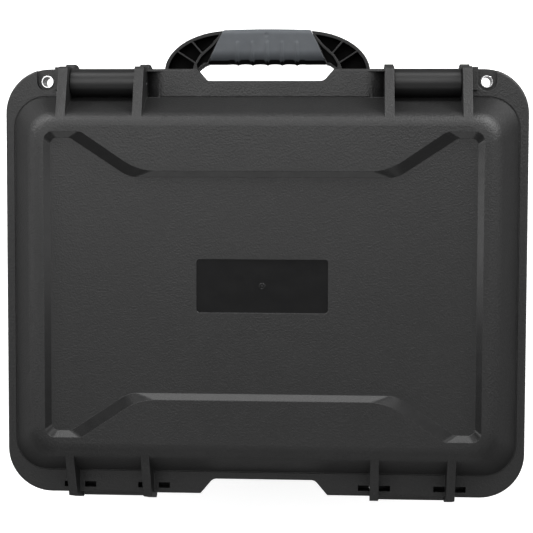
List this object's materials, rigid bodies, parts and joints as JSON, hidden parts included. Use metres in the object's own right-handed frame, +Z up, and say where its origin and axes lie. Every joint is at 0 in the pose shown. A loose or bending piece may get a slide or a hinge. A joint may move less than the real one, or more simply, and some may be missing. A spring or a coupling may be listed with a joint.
{
  "type": "hard carrying case",
  "caption": "Closed hard plastic carrying case for a drone, with latches, a folding handle, hinges, padlock eyelets and cut foam.",
  "frame": {"origin": "on the surface the case stands on, under the centre of the bounding box of the closed case with its handle out", "axes": "+X across the case, +Y from the handle and latches to the hinges, +Z up through the lid"},
  "size_m": [0.456, 0.419, 0.19],
  "materials": {
    "shell_plastic": "matte",
    "latch_plastic": "satin",
    "handle_plastic": "satin",
    "grip_rubber": "matte",
    "steel": "satin",
    "eyelet_steel": "polished",
    "seal_rubber": "matte",
    "foot_rubber": "matte",
    "foam": "matte",
    "valve_plastic": "matte",
    "membrane": "matte"
  },
  "bodies": {
    "base": {"base_shell": "shell_plastic", "gasket": "seal_rubber", "base_foam": "foam", "foam_pad": "foam", "hinge_pin_left": "steel", "hinge_pin_right": "steel", "handle_pin_left": "steel", "handle_pin_right": "steel", "base_eyelet_left": "eyelet_steel", "base_eyelet_right": "eyelet_steel", "valve_body": "valve_plastic", "valve_cap": "valve_plastic", "valve_seal": "seal_rubber", "valve_membrane": "membrane", "valve_nut": "valve_plastic", "foot_front_left": "foot_rubber", "foot_front_right": "foot_rubber", "foot_rear_left": "foot_rubber", "foot_rear_right": "foot_rubber"},
    "lid": {"lid_shell": "shell_plastic", "lid_foam": "foam", "latch_pin_left": "steel", "latch_pin_right": "steel", "lid_eyelet_left": "eyelet_steel", "lid_eyelet_right": "eyelet_steel"},
    "latch_left": {"latch_left": "latch_plastic"},
    "latch_right": {"latch_right": "latch_plastic"},
    "handle": {"handle_core": "handle_plastic", "handle_grip": "grip_rubber"}
  },
  "joints": [
    {"name": "lid_hinge", "type": "hinge", "parent": "base", "child": "lid", "pos_m": [0, 0.2025, 0.136], "axis": [-1, 0, 0], "range_deg": [0, 105]},
    {"name": "latch_left_pivot", "type": "hinge", "parent": "lid", "child": "latch_left", "pos_m": [-0.1405, -0.1605, 0.154], "axis": [-1, 0, 0], "range_deg": [0, 110]},
    {"name": "latch_right_pivot", "type": "hinge", "parent": "lid", "child": "latch_right", "pos_m": [0.1405, -0.1605, 0.154], "axis": [-1, 0, 0], "range_deg": [0, 110]},
    {"name": "handle_pivot", "type": "hinge", "parent": "base", "child": "handle", "pos_m": [0, -0.1605, 0.115], "axis": [1, 0, 0], "range_deg": [0, 90]}
  ]
}
